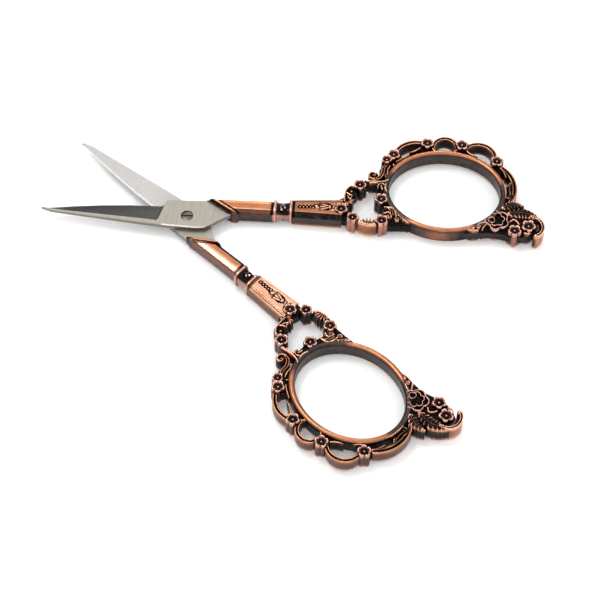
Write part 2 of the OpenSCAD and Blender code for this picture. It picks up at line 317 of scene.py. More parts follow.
class Relief:
    """The face of a casting as heights over a plan. The back is its mirror image."""

    def __init__(self, x0, x1, y0, y1, step=0.07):
        """A plan with no metal on it yet."""
        xs, ys = np.arange(x0, x1, step), np.arange(y0, y1, step)
        self.X, self.Y = np.meshgrid(xs, ys, indexing="ij")
        self.step = step
        self.edge = np.full(self.X.shape, FAR)  # distance to the outline, minus inside
        self.top = np.full(self.X.shape, EMPTY)
        self.side = np.full(self.X.shape, 0.04)  # how bright the walls are

    def along(self, line):
        """nearest() on the part of the grid round a line, or round a list of points on a curve."""
        reach = 2.5
        line = curve(line) if isinstance(line, list) else line
        first = (line.min(0) - reach - [self.X[0, 0], self.Y[0, 0]]) / self.step
        last = (line.max(0) + reach - [self.X[0, 0], self.Y[0, 0]]) / self.step
        (i, j), (m, n) = np.maximum(first.astype(int), 0), np.maximum(last.astype(int), 0)
        d, t = np.full(self.X.shape, FAR), np.zeros(self.X.shape)
        d[i:m, j:n], t[i:m, j:n] = nearest(line, self.X[i:m, j:n], self.Y[i:m, j:n])
        return d, t

    def distance(self, centre):
        """Distance in the plan from one place."""
        return np.hypot(self.X - centre[0], self.Y - centre[1])

    def add(self, edge, height, over=False, fillet=0.2, side=None):
        """A shape, from its signed distance and its height. over lays it on what is there."""
        depth = np.clip(-edge, 0, fillet)
        shape = height - fillet + np.sqrt(np.maximum(fillet ** 2 - (fillet - depth) ** 2, 0))
        inside = edge < self.step
        if over:
            self.top = np.where(edge < 0, shape, self.top)
            self.top = np.where(inside & (self.top < EMPTY / 2), shape, self.top)
        else:
            self.top = np.where(inside, np.maximum(self.top, shape), self.top)
        self.edge = np.minimum(self.edge, edge)
        if side is not None:
            self.side = np.where(edge < 3 * self.step, side, self.side)

    def strand(self, line, width, height, ends=(1.0, 1.0), ridges=1, side=None):
        """A rounded strand along a line, its width tapering to a share at each end."""
        d, t = self.along(line)
        w = width / 2 * np.interp(t, [0, 0.3, 0.7, 1], [ends[0], 1, 1, ends[1]])
        across = np.minimum(d / w, 1)
        if ridges == 2:
            crown = height - 0.5 * hump(across, 0, 0.42) - 0.22 * across ** 4
        else:
            crown = height - 0.35 * width * across ** 2
        self.add(d - w, crown, side=side)

    def curl(self, centre, r, height, first, turns):
        """A small scroll that winds in on a bead."""
        self.disc(centre, r, height - 0.8)
        self.strand(spiral(centre, r * 0.8, first, turns), r * 0.4, height, ends=(1, 0.6))
        self.bead(centre, r * 0.28, height - 0.05)

    def disc(self, centre, r, height):
        """A flat round."""
        d = self.distance(centre)
        self.add(d - r, height + 0 * d)

    def bead(self, centre, r, height):
        """The top of a ball."""
        d = self.distance(centre)
        dome = height - r + np.sqrt(np.maximum(r * r - d * d, 0))
        self.add(d - r, dome, fillet=0.02)

    def web(self, outline, height, side=None):
        """A flat ground inside a closed outline."""
        outline = np.asarray(outline, float)
        d, _ = self.along(np.vstack([outline, outline[:1]]))
        inside = np.zeros(self.X.shape, bool)
        for (px, py), (qx, qy) in zip(outline, np.roll(outline, -1, axis=0)):
            if py == qy:
                continue
            crosses = (py > self.Y) != (qy > self.Y)
            inside ^= crosses & (self.X < px + (self.Y - py) * (qx - px) / (qy - py))
        self.add(np.where(inside, -d, d), height + 0 * d, side=side)

    def leaf(self, line, width, height, veins=5, serration=0.0):
        """A pointed leaf along its midrib, with slanting veins and, if wanted, a saw edge."""
        d, t = self.along(line)
        half = width / 2 * np.sin(np.pi * np.clip(0.06 + 0.94 * t, 0, 1) ** 0.8) ** 0.75
        phase = t * veins - 0.55 * np.minimum(d / (width / 2), 1)
        tooth = np.abs(phase - np.round(phase)) * 2
        half = half * (1 - serration * tooth) + 0.04
        across = np.minimum(d / half, 1)
        ribs = 0.22 * (1 - tooth) ** 2 * smoothstep(0.1, 0.35, across)
        crown = height - 0.25 * across ** 2 + ribs + 0.2 * hump(d, 0, 0.11) - 0.2
        self.add(d - half, crown, fillet=0.14)

    def bloom(self, centre, r, height, depth, lobes=5, first=0.0, wave=0.12, lip=0.2):
        """A dished flower, laid over what is there: a thin wavy rim round a dark hollow."""
        d = self.distance(centre)
        a = np.arctan2(self.Y - centre[1], self.X - centre[0]) - math.radians(first)
        reach = r * (1 - wave * (1 - np.abs(np.cos(a * lobes / 2))))
        crease = hump(np.abs(np.sin(a * lobes / 2)), 1, 0.06) * smoothstep(0.35, 0.8, d / reach)
        crown = height - depth * (1 - hump(reach - d, 0.75 * lip, lip)) - 0.1 * crease
        self.add(d - reach, crown, over=True, fillet=0.1)

    def sink_under(self, blossoms, height):
        """Keeps the ground low where blossoms stand on it."""
        for centre, r, _, _ in blossoms:
            d = self.distance(centre)
            limit = height + 5 * np.maximum(d - r - 0.02, 0)
            self.top = np.where(self.top > EMPTY / 2, np.minimum(self.top, limit), self.top)

    def mesh(self, bright=1.2, rubbed=TOP - 0.35):
        """The closed solid, its outline drawn to the true edge between grid points."""
        # nothing reaches past the finger bow's inner face
        across = np.hypot((self.X - BOW_AT[0]) / (BOW_A - 0.3),
                          (self.Y - BOW_AT[1]) / (BOW_B - 0.3))
        self.edge = np.maximum(self.edge, (1 - across) * BOW_B)
        inside = self.edge < 0.35 * self.step
        cells = inside[:-1, :-1] & inside[1:, :-1] & inside[1:, 1:] & inside[:-1, 1:]
        # two cells that touch only at a corner get a third
        a, b, c, d = cells[:-1, :-1], cells[1:, :-1], cells[1:, 1:], cells[:-1, 1:]
        b |= a & c & ~b & ~d
        a |= b & d & ~a & ~c
        top = self.top.copy()
        for _ in range(3):
            wide = np.pad(top, 1, constant_values=EMPTY)
            near = np.max([wide[:-2, 1:-1], wide[2:, 1:-1], wide[1:-1, :-2], wide[1:-1, 2:]], 0)
            top = np.where(top < EMPTY / 2, near, top)
        full = np.pad(cells, 1)
        corners = (full[:-1, :-1].astype(int) + full[1:, :-1] + full[1:, 1:] + full[:-1, 1:])
        rim = (corners > 0) & (corners < 4)
        gx, gy = np.gradient(self.edge, self.step)
        slope = np.maximum(gx * gx + gy * gy, 0.25)
        move = np.clip(self.edge, -self.step, self.step) / slope
        X = np.where(rim, self.X - move * gx, self.X)
        Y = np.where(rim, self.Y - move * gy, self.Y)
        solid = np.maximum(top, 0)
        proud = solid - blurred(solid, max(int(round(0.32 / self.step)), 1))
        wear_and_glints = smoothstep(0.02, 0.3, proud) * smoothstep(rubbed - 0.95, rubbed, solid)
        polish_and_sheen = 0.04 + bright * wear_and_glints
        # a wall that faces away from the bow is made brighter than one that faces it
        ox, oy = self.X - BOW_AT[0], self.Y - BOW_AT[1]
        facing = (ox * gx + oy * gy) / np.maximum(np.hypot(ox, oy) * np.sqrt(slope), 1e-6)
        side = self.side * (0.25 + 0.95 * smoothstep(-0.1, 0.8, facing))
        top = np.maximum(top, 0.3)
        return slab_mesh(X, Y, top, -top, polish_and_sheen, side, cells=cells)


def blossom_mesh(blossoms):
    """Columns with a five-petalled blossom on each face: a bright rim round a dark star."""
    spokes, rings, petals = 80, 20, 5
    petal_at, petal_r = 0.57, 0.43  # of a blossom with a radius of 1
    ridge = 0.82  # where the rim stands, from 0 to 1
    bead_r = 0.27
    step = 2 * np.pi / petals
    a = np.linspace(0, 2 * np.pi, spokes, endpoint=False)
    t = np.linspace(0, 1, rings)[:, None] ** 0.7
    inner = smoothstep(0.5, ridge, t)
    outer = np.clip((t - ridge) / (1 - ridge), 0, 1) ** 2
    columns = []
    for (cx, cy), r, first, side in blossoms:
        off = np.abs((a - math.radians(first) + step / 2) % step - step / 2)
        reach = petal_at * np.cos(off) + np.sqrt(petal_r ** 2 - (petal_at * np.sin(off)) ** 2)
        rr = t * reach[None] * r
        lobe = reach[None] / reach.max()
        bead = np.sqrt(np.maximum(1 - (rr / bead_r) ** 2, 0))
        crease = hump((off[None] - step / 2) * rr, 0, 0.12) * smoothstep(0.25, 0.6, t)
        z = TOP - 0.5 + 0.58 * inner - 0.3 * outer - 0.2 * (1 - lobe ** 2) * inner
        z = z + 0.34 * bead - 0.14 * crease
        glow = np.clip(1.3 * smoothstep(0.52, 0.72, t) * (0.6 + 0.4 * lobe) - 0.35 * outer
                       + 0.12 * hump(t, 0.42, 0.1) * lobe + 1.2 * bead - 0.6 * crease, 0, 1.3)
        face = np.stack([cx + rr * np.cos(a)[None], cy + rr * np.sin(a)[None], z], -1)
        back = face * [1, 1, -1]
        walls = [face[-1] * (1 - k) + back[-1] * k for k in (0.2, 0.4, 0.6, 0.8)]
        # a column is bright on the side turned away from the middle of the handle
        wall = side * (0.15 + 0.85 * smoothstep(-0.1, 0.7, np.sin(a) * (1 if cy > 9 else -1)))
        columns.append(loft_mesh([*face, *walls, *back[::-1]],
                                 [*glow, *[wall] * len(walls), *glow[::-1]]))
    return joined(columns)


# --- the casting, part by part ---

def finger_bow():
    """The oval band: a polished crest on each face, dull where the scrollwork covers it."""
    half = BAND_W / 2
    crest = np.radians(np.linspace(0, 180, 17))
    flank = (1.0, 0.5, 0, -0.5, -1.0)
    profile = [(half * math.cos(a), BOW_TOP - half + half * math.sin(a)) for a in crest]
    profile += [(-half, z) for z in flank]
    profile += [(-half * math.cos(a), -BOW_TOP + half - half * math.sin(a)) for a in crest]
    profile += [(half, z) for z in flank[::-1]]
    sections, polish_and_sheen = [], []
    for a in np.linspace(0, 2 * np.pi, 200, endpoint=False):
        at = np.array([BOW_AT[0] + BOW_A * math.cos(a), BOW_AT[1] + BOW_B * math.sin(a)])
        out = np.array([math.cos(a) / BOW_A, math.sin(a) / BOW_B])
        out /= np.linalg.norm(out)
        sections.append(np.array([[*(at + out * s), z] for s, z in profile]))
        degrees = math.degrees(a)
        # scrollwork covers the band by the wreath, and along the tail
        covered = (smoothstep(150, 165, degrees) * (1 - smoothstep(228, 240, degrees))
                   + smoothstep(296, 306, degrees) + 1 - smoothstep(10, 20, degrees))
        shine = 0.8 - 0.55 * min(covered, 1)
        # a painted reflection of the floor: the bare stretch of the outer wall is brighter, less so
        # near the faces, and this fades out under the scrollwork
        lower = smoothstep(236, 266, degrees) * (1 - smoothstep(266, 292, degrees))
        ring = []
        for s, z in profile:
            wall = 0.12 + 0.52 * lower * (1 - 0.4 * smoothstep(0.9, 2.0, abs(z))) if s > 0 else 0.25
            crest_share = smoothstep(BOW_TOP - 0.6, BOW_TOP - 0.08, abs(z))
            ring.append(wall + (shine - wall) * crest_share)
        polish_and_sheen.append(ring)
    return loft_mesh(sections, polish_and_sheen, closed=True)


def wreath():
    """Openwork between the bar and the bow: leaves, scrolls, a rail and the foot."""
    r = Relief(36.6, 58.0, -0.4, 17.6)
    high, ground = TOP - 0.25, TOP - 1.2
    r.web([(37.6, 2.7), (40.4, 2.2), (41.0, 4.6), (40.4, 6.4), (41.2, 8.6), (41.0, 9.8),
           (39.4, 9.8), (37.8, 7.7)], ground)
    r.curl((38.65, 8.1), 0.75, high - 0.15, first=200, turns=0.9)
    for bend, tip in ((0.3, (41.2, 6.9)), (0.1, (41.5, 8.1)), (-0.2, (41.0, 9.3))):
        r.leaf([(39.0, 6.2), (40.1, 7.0 + bend), tip], 0.85, high - 0.1, veins=3)
    # the open scroll, its ribbon as thin as wire
    r.disc((40.7, 10.9), 1.7, ground)
    r.strand([(39.3, 7.4), (39.2, 9.2), (39.5, 11.2), (40.4, 12.3), (41.2, 12.5)], 0.42,
             high, ends=(0.8, 0.6))
    r.strand([(39.7, 10.1), (40.4, 9.6), (41.1, 9.55)], 0.5, high, ends=(1.0, 0.5))
    r.strand([(39.9, 9.4), (40.3, 8.6), (41.0, 8.15)], 0.45, high - 0.1, ends=(0.8, 0.5))
    r.bead((40.75, 11.0), 0.5, high - 0.45)
    # rail to the bow
    r.web([(43.4, 13.2), (45.4, 13.7), (50.6, 13.7), (50.6, 15.0), (45.2, 14.9), (43.4, 14.6)],
          ground)
    r.strand([(43.8, 14.3), (46, 14.4), (48.4, 14.5), (50.6, 15.6)], 0.42, high)
    r.strand([(45.2, 13.9), (46.9, 14.05), (48.4, 13.7), (49.1, 13.0)], 0.4, high - 0.1)
    # small scrolls against the bow
    r.web([(47.6, 12.2), (47.6, 10.2), (50.2, 10.2), (50.2, 14.0), (48.2, 14.0)], ground)
    r.strand(arc((48.3, 12.9), 0.95, 200, -30), 0.4, high)
    r.leaf([(48.1, 13.3), (48.4, 12.6), (48.5, 11.8)], 0.75, high - 0.05, veins=3)
    r.strand([(49.4, 13.9), (49.3, 12.9), (49.5, 12.0)], 0.4, high)
    r.strand([(49.3, 12.1), (49.6, 11.6), (50.2, 11.3)], 0.4, high)
    # ribbons from the lower blossom to the bow
    r.web([(48.4, 8.2), (50.6, 8.4), (54.4, 5.0), (57.0, 2.6), (57.0, 1.9), (53.4, 1.7),
           (50.2, 1.4), (49.6, 4.8)], ground)
    for shift in (0.0, 0.55, 1.1):
        r.strand([(49.4 + shift, 6.6), (50.4 + shift, 6.3), (51.0 + shift, 5.4),
                  (51.2 + shift, 4.2)], 0.36, high, ends=(0.6, 0.8))
    r.strand([(49.5, 4.6), (50.4, 5.0), (51.1, 4.5), (51.3, 3.6)], 0.5, high)
    r.curl((50.6, 3.6), 0.7, high - 0.15, first=60, turns=1.3)
    r.curl((52.9, 3.1), 0.78, TOP - 0.28, first=150, turns=1.0)
    r.leaf([(53.0, 4.3), (54.2, 3.2), (55.8, 2.2)], 1.1, TOP - 0.25, veins=4)
    r.leaf([(52.3, 5.4), (52.5, 4.6), (52.6, 3.4)], 0.7, high, veins=3)
    # the foot, with a fan of leaves in front of dark hollows
    r.web([(43.1, 1.4), (44.3, 0.7), (47.7, 0.65), (48.2, 1.6), (47.1, 2.2), (44.1, 2.15),
           (43.2, 2.2)], TOP - 0.95, side=0.55)
    r.strand([(43.3, 1.5), (44.4, 0.95), (45.9, 0.75), (47.3, 0.9), (48.1, 1.4)], 0.55,
             TOP - 0.15, side=0.55)
    for k in range(6):
        spread = (k - 2.5) / 2.5
        base = (45.7 + 1.1 * spread, 1.0)
        tip = (45.7 + 2.3 * spread, 2.5 - 0.6 * abs(spread) ** 1.5)
        middle = ((base[0] + tip[0]) / 2, (base[1] + tip[1]) / 2 + 0.15)
        r.strand([base, middle, tip], 0.34, TOP, ends=(1.0, 0.6))
    r.sink_under(WREATH_BLOSSOMS, TOP - 1.1)
    return r.mesh()


def lace_border():
    """Four double-ridged ribbons round the bow, and the scrolls at their ends."""
    r = Relief(43.6, 84.6, 8.6, 32.4)
    high, ground = TOP - 0.65, TOP - 1.35
    ribbons = [
        ((56.8, 22.3), 6.15, 64, 160, 1.2), ((63.85, 27.25), 3.05, -4, 184, 1.1),
        ((72.5, 24.8), 4.35, 4, 132, 1.2), ((73.5, 15.2), 8.6, -30, 52, 1.35),
    ]
    for centre, radius, first, last, width in ribbons:
        r.strand(arc(centre, radius, first, last, 40), width, high, ends=(0.85, 0.85), ridges=2,
                 side=0.34)
    # grounds that carry the blossoms on the bow
    for patch in (
        [(48.0, 20.8), (47.4, 18.4), (48.8, 17.2), (52.4, 19.4), (54.2, 22.4), (52.2, 24.2)],
        [(58.0, 27.2), (58.4, 25.0), (60.8, 25.2), (60.6, 27.4)],
        [(66.8, 27.2), (66.9, 25.2), (69.4, 25.0), (69.4, 27.4)],
        [(75.2, 22.8), (75.6, 20.8), (78.0, 19.4), (79.4, 22.2)],
    ):
        r.web(patch, ground)
    # tendrils that leave the blossoms along the bow
    for line in (
        [(51.6, 21.6), (53.0, 22.8), (54.6, 23.9)], [(57.4, 26.6), (56.2, 25.6), (54.8, 24.8)],
        [(60.6, 26.6), (61.4, 25.9), (62.6, 25.6)], [(66.8, 26.6), (65.9, 25.9), (64.8, 25.6)],
        [(69.5, 26.6), (70.6, 25.7), (72.2, 25.0)], [(76.0, 22.3), (75.2, 22.6), (74.2, 23.6)],
        [(78.2, 22.0), (79.2, 20.6), (79.8, 19.0)],
    ):
        r.strand(line, 0.5, TOP - 0.75, ends=(1.0, 0.45))
    # the S-scroll and open scroll above the wreath
    r.strand([(49.2, 20.6), (48.4, 19.2), (48.3, 17.6), (47.5, 16.1), (46.2, 15.5)], 0.95,
             high, ends=(0.7, 0.8), ridges=2, side=0.5)
    r.disc((45.95, 16.8), 1.3, ground)
    r.strand(spiral((45.95, 16.8), 1.3, -80, -0.95), 0.5, high, ends=(0.9, 0.5))
    r.bead((46.0, 16.85), 0.35, high - 0.1)
    r.curl((49.5, 16.6), 0.75, high, first=40, turns=1.1)
    r.strand([(50.1, 20.2), (49.6, 18.9), (49.5, 17.4)], 0.5, high, ends=(0.5, 1.0))
    r.leaf([(50.8, 20.6), (51.5, 19.6), (51.3, 18.2)], 0.7, high, veins=4)
    # leaf scroll and ribbons at the tail end
    r.strand([(81.4, 12.2), (80.6, 13.6), (80.4, 15.4), (80.9, 17.0)], 0.9, high,
             ends=(1.0, 0.5), ridges=2)
    r.strand(bow_line(-4, 20, 0.55), 0.6, TOP - 0.3, ends=(0.6, 0.5))
    r.curl((80.7, 12.9), 0.8, high, first=200, turns=1.2)
    r.leaf([(81.4, 11.2), (81.8, 12.9), (81.5, 14.4)], 1.0, high, veins=5)
    r.sink_under(BORDER_BLOSSOMS, TOP - 1.0)
    return r.mesh(1.05, high)


def leaf_spray():
    """The spray of leaves at the tail, on a web that ties it to the bow."""
    r = Relief(68.6, 90.4, -0.6, 12.6)
    high, ground = TOP - 0.3, TOP - 1.2
    r.web([(69.0, 1.6), (69.6, 0.85), (72.0, 1.05), (74.0, 1.4), (76.0, 1.65), (78.0, 1.65),
           (80.0, 1.3), (81.2, 0.8), (84.2, 0.9), (86.6, 1.9), (88.8, 3.0), (88.6, 5.2),
           (86.6, 7.4), (84.0, 8.8), (82.6, 10.2), (80.0, 10.2), (78.6, 9.8), (78.4, 7.0),
           (76.4, 4.6), (73.4, 2.7)], ground, side=0.14)
    # ground that stands a little higher inside the hook, which makes it come out brighter: a
    # painted reflection of a lamp
    r.web([(87.7, 2.6), (88.6, 3.0), (88.6, 4.6), (87.9, 5.2)], ground + 0.3, side=0.14)
    r.leaf([(79.2, 9.1), (81.8, 10.1), (84.6, 10.1)], 2.4, high, veins=6, serration=0.1)
    r.leaf([(80.9, 7.3), (84.6, 7.7), (88.8, 6.2)], 3.1, TOP - 0.12, veins=8, serration=0.1)
    r.strand([(81.2, 4.8), (82.0, 5.5), (82.9, 5.0), (83.4, 4.2)], 0.45, high)
    r.leaf([(84.8, 1.7), (85.6, 1.7), (86.7, 2.1)], 0.9, high - 0.1, veins=4)
    # curls that lie along the bow's lower side
    r.curl((73.35, 2.45), 0.68, TOP - 0.3, first=20, turns=1.3)
    r.curl((72.0, 2.0), 0.5, TOP - 0.35, first=200, turns=1.1)
    r.strand([(70.6, 1.5), (71.4, 1.35), (72.4, 1.35), (73.2, 1.6)], 0.4, TOP - 0.35,
             ends=(0.3, 1.0))
    r.strand([(74.3, 1.9), (74.7, 2.7), (75.2, 3.5)], 0.36, TOP - 0.3)
    r.leaf([(73.2, 3.2), (74.2, 3.9), (75.2, 4.2)], 0.9, TOP - 0.3, veins=3)
    r.sink_under(TAIL_BLOSSOMS, TOP - 1.1)
    return r.mesh()


def tail_scroll():
    """The hooked ribbon that wraps the last blossom, with a ball at its tip."""
    r = Relief(81.6, 90.6, -0.6, 8.6)
    r.strand(arc((86.3, 3.6), 3.17, -62, 88, 40), 0.86, TOP, ends=(1.0, 0.7), ridges=2, side=0.62)
    r.bead((87.75, 0.92), 0.7, TOP - 0.05)
    return r.mesh()


def rose():
    """An open rose: an outer ring of petals, a deep wavy cup and a bud to one side of it."""
    r = Relief(74.4, 81.6, 1.4, 8.8, 0.06)
    r.bloom((77.85, 5.0), 3.25, TOP - 0.15, 0.85, first=-30, wave=0.2, lip=0.34)
    r.bloom((77.7, 5.05), 2.3, TOP, 1.1, lobes=6, first=10, wave=0.2, lip=0.3)
    r.bloom((76.5, 4.7), 1.02, TOP + 0.05, 0.9, lobes=3, first=60, wave=0.14, lip=0.22)
    r.side[:] = 0.2
    return r.mesh()


def bar_edges(x):
    """The inner and outer edges of the handle's bar at a station."""
    inner = np.interp(x, [11, 21.3, 26.5, 38.4], [1.75, 2.05, 2.1, 2.1])
    outer = np.interp(x, [4.5, 7, 21.3, 26.5, 38.4], [5.0, 5.2, 5.75, 6.7, 7.8])
    return inner, outer


def chamfer(distance, width, drop):
    """How far a bevel along an edge has dropped at a distance from that edge."""
    return drop * np.clip(1 - distance / width, 0, 1)


def front_line(y, depth):
    """Where the slanted front of the casting, or a line some depth behind it, crosses y."""
    return RIM_START[0] + (y - RIM_START[1]) * RIM_LEAN + depth * math.hypot(1, RIM_LEAN)


def shank():
    """The plain bar behind the bolster: a crowned panel with a dark line round it."""
    u, v = np.meshgrid(np.concatenate([np.linspace(0, 0.1, 16), np.linspace(0.11, 1, 60)]),
                       np.linspace(0, 1, 72), indexing="ij")
    inner_y, outer_y, lap = 1.8, 5.4, 0.2  # the ends of its front, and its lap on the collar
    x = front_line(inner_y + v * (outer_y - inner_y), RIM_DEPTH - 0.05)
    x = x + u * (COLLAR_X[0] + lap - x)
    inner, outer = bar_edges(x)
    y = inner + v * (outer - inner)
    from_in, from_out = y - inner, outer - y
    from_front = (x - front_line(y, RIM_DEPTH)) / math.hypot(1, RIM_LEAN)
    to_collar = COLLAR_X[0] - x
    line = np.max([hump(from_out, 0.06, 0.1), hump(from_front, 0.08, 0.18),
                   1 - smoothstep(0.2, 0.5, to_collar)], 0)
    # a row of punched dots before the collar
    dots = hump(to_collar, 0.75, 0.11) * smoothstep(0.2, 0.7, np.cos(2 * np.pi * (y - 4.0) / 0.62))
    dots *= smoothstep(0.9, 1.0, from_in) * smoothstep(0.3, 0.4, from_out)
    crown = 0.26 * (1 - np.abs(2 * v - 1) ** 2.5)
    top = (TOP - 0.5 + crown - chamfer(from_in, 0.85, 0.4) - chamfer(from_out, 0.2, 0.25)
           - 0.13 * line - 0.1 * dots)
    bevel = 1 - smoothstep(0.75, 0.85, from_in)
    polish_and_sheen = 0.82 - 0.85 * line - 0.6 * dots - 0.36 * bevel + 0.3 * hump(from_in, 0.95, 0.1)
    # the other face is brighter along its outer side, a painted highlight, and its inner bevel is
    # dark
    low_polish_and_sheen = 0.8 - 0.85 * line - 0.6 * dots - 0.62 * bevel + 0.4 * smoothstep(0.35, 0.7, v)
    return slab_mesh(x, y, top, -top, np.clip(polish_and_sheen, 0.02, 1.2),
                     np.where(v > 0.5, 0.5, 0.27), np.clip(low_polish_and_sheen, 0.02, 1.2), glow=0.12)


def bolster():
    """The slanted rim that closes the casting over the blade, with a ledge in front of it."""
    u, v = np.meshgrid(np.linspace(0, 1, 50), np.linspace(0, 1, 48), indexing="ij")
    first, last = 5.08, 1.5
    y = first + u * (last - first)
    depth = v * RIM_DEPTH
    x = front_line(y, depth)
    bead = np.sqrt(np.maximum(1 - ((depth - 0.92) / 0.5) ** 2, 0))
    ends = np.minimum(y - last, first - y)
    top = (TOP - 0.8 + 0.82 * bead - 0.2 * (1 - smoothstep(0, 0.4, depth))
           - 0.25 * (1 - smoothstep(0, 0.3, ends)))
    polish_and_sheen = np.clip(0.1 + 0.3 * hump(depth, 0.05, 0.08) + 0.85 * bead ** 5, 0.02, 1)
    return slab_mesh(x, y, top, -top, polish_and_sheen, np.where(depth > 0.5, 0.36, 0.12))


def vine(x, y):
    """The engraved vine, its first bead at the origin: 1 where it is cut, 0 where it is not."""
    beads = [(cut, (0.9 * k, 0.04 * k), size, 0) for k in range(4)
             for cut, size in ((1, (0.56, 0.62)), (0, (0.2, 0.24)))]
    leaf = [(1, (4.05, 0.25), (1.3, 0.82), 14), (0, (4.35, 0.2), (0.66, 0.36), -20),
            (0, (3.35, -0.1), (0.3, 0.2), 40), (0, (4.1, 0.66), (0.55, 0.1), 10),
            (0, (4.0, -0.42), (0.5, 0.1), 12)]
    # a flower seen from the side: its three petals, which point to the beads, and its foot
    flower = [(1, (6.75, 0.35), (1.5, 1.2), 0)]
    for at, (length, width), turn in (((6.0, 0.35), (1.15, 0.26), 0),
                                      ((6.15, 0.95), (1.2, 0.24), -17),
                                      ((6.15, -0.25), (1.2, 0.24), 17)):
        flower += [(1, at, (length + 0.3, width + 0.2), turn), (0, at, (length, width), turn)]
    flower += [(0, (7.5, 0.35), (0.35, 0.55), 0)]
    for at, (length, width) in (((8.35, 0.75), (0.36, 0.22)), ((8.5, -0.1), (0.4, 0.25)),
                                ((9.2, 0.35), (0.5, 0.4))):
        flower += [(1, at, (length, width), 20), (0, at, (length * 0.4, width * 0.4), 0)]
    engraved = np.zeros(x.shape)
    # ovals in turn, each one cut or left standing inside what is cut
    for cut, at, size, turn in beads + leaf + flower:
        c, s = math.cos(math.radians(turn)), math.sin(math.radians(turn))
        dx, dy = x - at[0], y - at[1]
        oval = 1 - smoothstep(0.8, 1.1, np.hypot((dx * c + dy * s) / size[0],
                                                 (-dx * s + dy * c) / size[1]))
        engraved = np.maximum(engraved, oval) if cut else engraved * (1 - oval)
    return engraved


def vine_bar():
    """The bar between the collar and the wreath, with a vine sunk into both faces.

    The face shown by the upper half has a wide bevel on its inner side, and the other face a
    wide moulding on its outer side.
    """
    u, v = np.meshgrid(np.linspace(0, 1, 230), np.linspace(0, 1, 100), indexing="ij")
    x = COLLAR_X[1] - 0.2 + u * (BAR_END - COLLAR_X[1] + 0.2)
    inner, outer = bar_edges(x)
    y = inner + v * (outer - inner)
    from_in, from_out = y - inner, outer - y
    ends = 1 - smoothstep(0.25, 0.5, x - COLLAR_X[1])

    def vine_from(start_x, start_y):
        """Where the vine is cut, and where its standing parts are rubbed bright."""
        dx, dy = x - start_x, y - start_y - 0.04 * (x - 28)
        rubbed = (smoothstep(-0.4, 0.0, dx) * (1 - smoothstep(9.2, 9.6, dx))
                  * (1 - smoothstep(0.3, 0.6, np.abs(dy - 0.1) - 0.07 * np.clip(dx, 0, 7))))
        cut = vine(dx, dy)
        return cut, (1 - cut) * rubbed

    cut, standing = vine_from(28.2, 4.6)
    line = np.maximum(hump(from_out, 0.55, 0.09), ends)
    face = (TOP - 0.3 - chamfer(from_in, 0.95, 1.05) - chamfer(from_out, 0.45, 0.3)
            - 0.26 * cut - 0.1 * line)
    face_polish = (0.72 - 0.85 * cut - 0.8 * line - 0.6 * (1 - smoothstep(0.9, 1.0, from_in))
                   + 0.3 * hump(from_in, 1.12, 0.12) + 0.4 * standing)

    cut, standing = vine_from(28.0, 3.65)
    line = np.max([hump(from_out, 0.35, 0.07), hump(from_out, 0.85, 0.07), ends], 0)
    back = (TOP - 0.3 - chamfer(from_in, 0.3, 0.3) - chamfer(from_out, 0.9, 0.5)
            - 0.26 * cut - 0.12 * line)
    back_polish = 1.12 - 1.2 * cut - 0.75 * line + 0.15 * standing

    # room for the first blossom of the wreath
    (at_x, at_y), blossom_r, _, _ = WREATH_BLOSSOMS[0]
    room = 0.9 * (np.hypot(x - at_x, y - at_y) < blossom_r + 0.05)
    face, back = face - room, back - room
    return slab_mesh(x, y, face, -back, np.clip(face_polish, 0.02, 1.2),
                     np.where(v > 0.5, 0.45, 0.28), np.clip(back_polish, 0.02, 1.2), glow=0.1)


def rounded_section(x, centre_y, half_w, half_t, power=0.55):
    """A cross-section of the collar, round at its corners."""
    a = np.linspace(0, 2 * np.pi, RING_POINTS, endpoint=False)
    c, s = np.cos(a), np.sin(a)
    return np.stack([np.full(RING_POINTS, x), centre_y + half_w * np.sign(c) * np.abs(c) ** power,
                     half_t * np.sign(s) * np.abs(s) ** power], 1)


def collar_rings():
    """The two turned rings at the ends of the collar, bright on their crests."""
    made = []
    for centre_x, half_x, centre_y, half_w in ((21.95, 0.46, 4.2, 2.42), (25.95, 0.42, 4.6, 2.45)):
        sections, polish_and_sheen = [], []
        for a in np.linspace(0, 180, 15):
            swell = math.sin(math.radians(a)) ** 0.6
            sections.append(rounded_section(
                centre_x - half_x * math.cos(math.radians(a)), centre_y,
                half_w - 0.42 * (1 - swell), TOP - 0.02 - 0.42 * (1 - swell)))
            polish_and_sheen.append(np.full(RING_POINTS, 0.35 + 0.65 * swell ** 3))
        made.append(loft_mesh(sections, polish_and_sheen))
    return joined(made)


